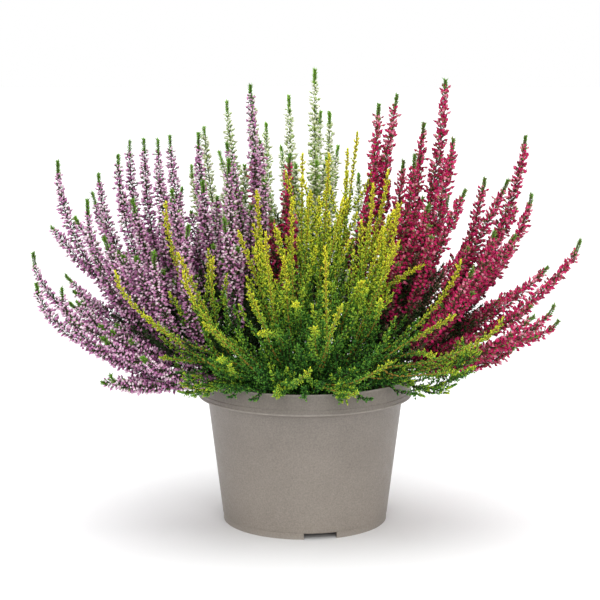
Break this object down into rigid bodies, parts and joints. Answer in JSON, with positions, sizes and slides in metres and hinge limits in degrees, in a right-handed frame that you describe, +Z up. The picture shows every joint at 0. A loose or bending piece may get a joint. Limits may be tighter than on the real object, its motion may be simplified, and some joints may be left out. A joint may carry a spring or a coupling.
{
  "type": "potted heather",
  "caption": "Heather plants in four colours, spreading upright from compost in a round tapered grower's pot with a lip band and a notched foot.",
  "frame": {"origin": "on the floor, in the middle of the plant's footprint, where the pot's axis meets the floor", "axes": "+X to the right, from the lilac plant to the crimson one, +Y to the back, +Z up; the gold plant stands at the front, at -Y"},
  "size_m": [0.4345, 0.3, 0.357],
  "materials": {
    "pot": "matt moulded recycled polypropylene, speckled taupe",
    "compost": "damp dark peat-free compost of bark and wood fibre",
    "lilac_heather": "woody brown stems with small lilac-pink buds, dark bracts and green leafy tips",
    "white_heather": "green stems with small white buds and bright green leafy tips",
    "crimson_heather": "tan stems with crimson buds, pale at the base and dark at the tip, and green leafy tips",
    "gold_heather": "orange-brown stems with small scale leaves, yellow at the tips and green lower down"
  },
  "bodies": {
    "root": {"compost": "compost", "crimson_spray_01": "crimson_heather", "crimson_spray_02": "crimson_heather", "crimson_spray_03": "crimson_heather", "crimson_spray_04": "crimson_heather", "crimson_spray_05": "crimson_heather", "crimson_spray_06": "crimson_heather", "crimson_spray_07": "crimson_heather", "crimson_spray_08": "crimson_heather", "crimson_spray_09": "crimson_heather", "crimson_spray_10": "crimson_heather", "crimson_spray_11": "crimson_heather", "crimson_spray_12": "crimson_heather", "crimson_spray_13": "crimson_heather", "crimson_spray_14": "crimson_heather", "crimson_spray_15": "crimson_heather", "gold_spray_01": "gold_heather", "gold_spray_02": "gold_heather", "gold_spray_03": "gold_heather", "gold_spray_04": "gold_heather", "gold_spray_05": "gold_heather", "gold_spray_06": "gold_heather", "gold_spray_07": "gold_heather", "gold_spray_08": "gold_heather", "gold_spray_09": "gold_heather", "gold_spray_10": "gold_heather", "gold_spray_11": "gold_heather", "gold_spray_12": "gold_heather", "gold_spray_13": "gold_heather", "gold_spray_14": "gold_heather", "gold_spray_15": "gold_heather", "gold_spray_16": "gold_heather", "gold_spray_17": "gold_heather", "gold_spray_18": "gold_heather", "lilac_spray_01": "lilac_heather", "lilac_spray_02": "lilac_heather", "lilac_spray_03": "lilac_heather", "lilac_spray_04": "lilac_heather", "lilac_spray_05": "lilac_heather", "lilac_spray_06": "lilac_heather", "lilac_spray_07": "lilac_heather", "lilac_spray_08": "lilac_heather", "lilac_spray_09": "lilac_heather", "lilac_spray_10": "lilac_heather", "lilac_spray_11": "lilac_heather", "lilac_spray_12": "lilac_heather", "lilac_spray_13": "lilac_heather", "lilac_spray_14": "lilac_heather", "lilac_spray_15": "lilac_heather", "lilac_spray_16": "lilac_heather", "pot": "pot", "white_spray_01": "white_heather", "white_spray_02": "white_heather", "white_spray_03": "white_heather", "white_spray_04": "white_heather", "white_spray_05": "white_heather", "white_spray_06": "white_heather", "white_spray_07": "white_heather", "white_spray_08": "white_heather", "white_spray_09": "white_heather"}
  },
  "joints": []
}
